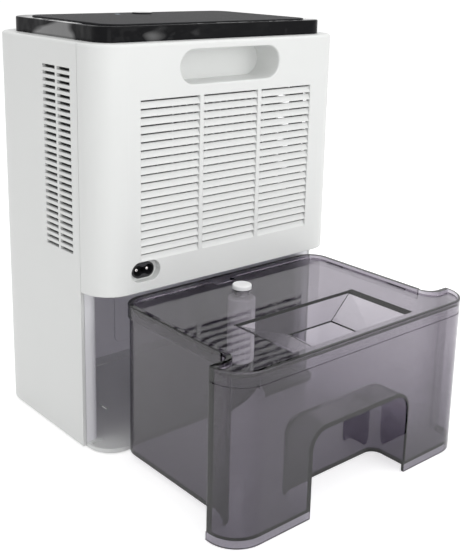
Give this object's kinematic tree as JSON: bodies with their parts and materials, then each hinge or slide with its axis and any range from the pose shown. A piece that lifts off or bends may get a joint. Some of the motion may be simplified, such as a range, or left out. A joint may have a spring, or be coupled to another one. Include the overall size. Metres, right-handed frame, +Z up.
{
  "type": "dehumidifier",
  "caption": "Compact thermoelectric dehumidifier: white upright casing with louvred rear, gloss black lid and a clear smoke water tank that slides out of the back.",
  "frame": {"origin": "on the plane of the four feet, at the middle of the casing's width and depth", "axes": "+Z up, +Y towards the rear with the louvres, the mains inlet and the drawn-out tank, +X to the right when seen from the front"},
  "size_m": [0.216, 0.281, 0.2935],
  "materials": {
    "white_abs": "satin moulded ABS",
    "liner_abs": "matt moulded ABS",
    "gloss_black": "high-gloss black",
    "dark_panel": "fine matt dark grey",
    "smoke_clear": "clear smoke-tinted styrene",
    "float_white": "smooth white",
    "black_plastic": "matt black",
    "rubber_foot": "matt rubber",
    "steel": "zinc plated",
    "nickel": "bright nickel plate",
    "aluminium": "extruded, mill finish",
    "module_ceramic": "white alumina",
    "foam": "closed-cell foam",
    "board_green": "solder mask",
    "ferrite": "sintered ferrite",
    "coil_tape": "polyester tape over copper",
    "copper": "enamelled copper",
    "bronze": "sintered bronze",
    "can_sleeve": "shrink sleeve",
    "connector_white": "natural nylon",
    "glass_capsule": "clear glass",
    "lamp_guide": "translucent light guide",
    "magnet": "sintered ferrite magnet"
  },
  "bodies": {
    "casing": {"baffle_plate": "black_plastic", "base_plate": "white_abs", "base_screws": "steel", "bay_liner": "liner_abs", "board_screws": "steel", "capacitors": "can_sleeve", "cold_heatsink": "aluminium", "condensate_tray": "black_plastic", "connectors": "connector_white", "control_board": "board_green", "control_screws": "steel", "core_screws": "steel", "fan_bearing": "bronze", "fan_frame": "black_plastic", "fan_screws": "steel", "fan_stator": "copper", "feet": "rubber_foot", "front_shell": "white_abs", "hot_heatsink": "aluminium", "indicator_lamp": "lamp_guide", "inlet_body": "black_plastic", "inlet_pins": "nickel", "insulation_gasket": "foam", "peltier_module": "module_ceramic", "power_board": "board_green", "rear_shell": "white_abs", "reed_capsule": "glass_capsule", "reed_holder": "connector_white", "switch_body": "black_plastic", "top_lid": "gloss_black", "top_panel": "dark_panel", "transformer_coil": "coil_tape", "transformer_core": "ferrite"},
    "tank": {"water_tank": "smoke_clear", "tank_lid": "smoke_clear"},
    "float": {"float_body": "float_white", "float_cap": "float_white", "float_magnet": "magnet"},
    "power_button": {"power_button": "gloss_black", "switch_plunger": "black_plastic"},
    "rotor": {"fan_rotor": "black_plastic", "fan_shaft": "steel"}
  },
  "joints": [
    {"name": "tank_slide", "type": "slide", "parent": "casing", "child": "tank", "axis": [0, 1, 0], "range_m": [-0.135, 0]},
    {"name": "float_rise", "type": "slide", "parent": "tank", "child": "float", "axis": [0, 0, 1], "range_m": [0, 0.0018]},
    {"name": "fan_spin", "type": "hinge", "parent": "casing", "child": "rotor", "pos_m": [0, -0.0015, 0.2], "axis": [0, 1, 0], "continuous": true},
    {"name": "button_press", "type": "slide", "parent": "casing", "child": "power_button", "axis": [0, 0, -1], "range_m": [0, 0.0008], "stiffness_N_per_m": 1200}
  ]
}
